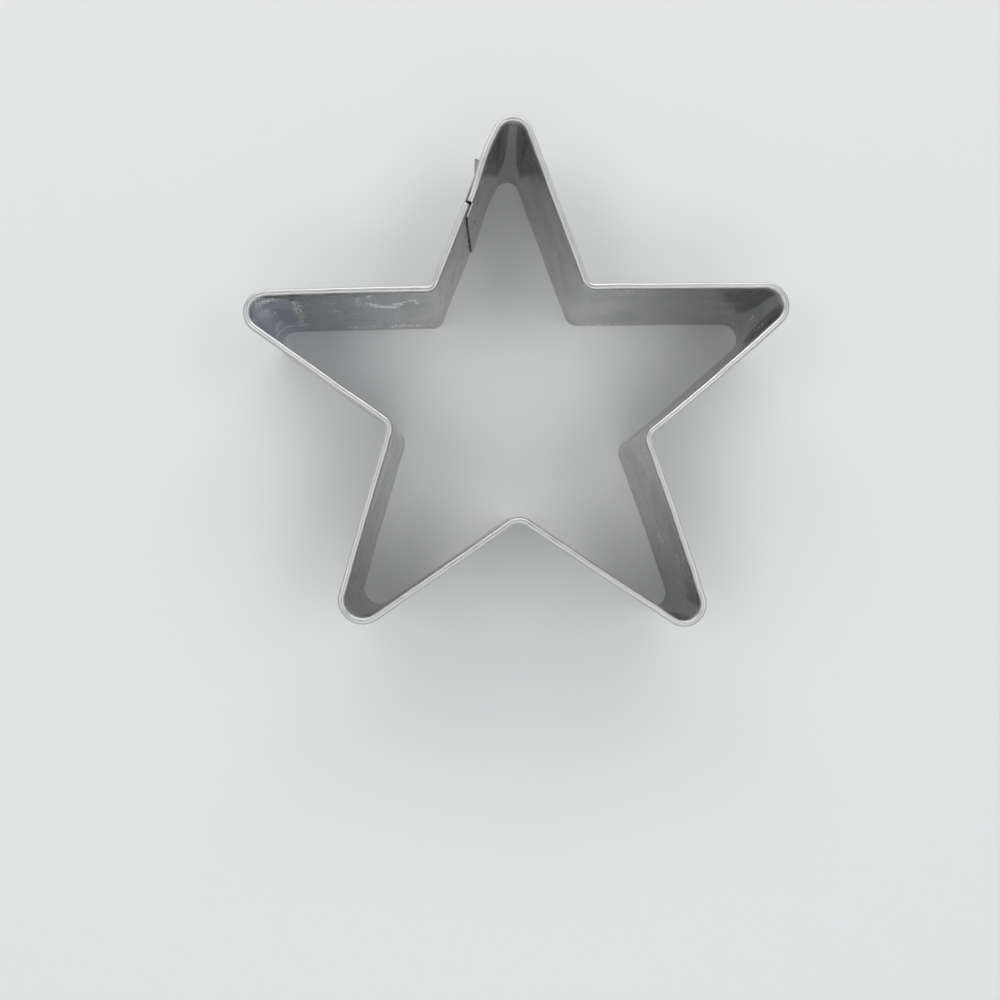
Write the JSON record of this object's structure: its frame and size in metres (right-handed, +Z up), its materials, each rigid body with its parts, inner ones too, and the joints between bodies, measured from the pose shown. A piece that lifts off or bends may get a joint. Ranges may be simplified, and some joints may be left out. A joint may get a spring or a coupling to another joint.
{
  "type": "cookie cutter",
  "caption": "Star-shaped cookie cutter bent from a thin metal strip, with a rolled rim on top, a plain cutting edge below and a spot-welded lap.",
  "frame": {"origin": "on the ground plane under the middle of the star's outline", "axes": "+X to the right, +Y towards the first point of the star, +Z up from the cutting edge to the rolled rim"},
  "size_m": [0.102, 0.096, 0.0254],
  "materials": {
    "strip_metal": "bright rolled sheet, lightly scuffed, with dried water marks",
    "weld_metal": "dull fused spot with a faint heat tint"
  },
  "bodies": {
    "root": {"cutter_band": "strip_metal", "spot_weld": "weld_metal"}
  },
  "joints": []
}
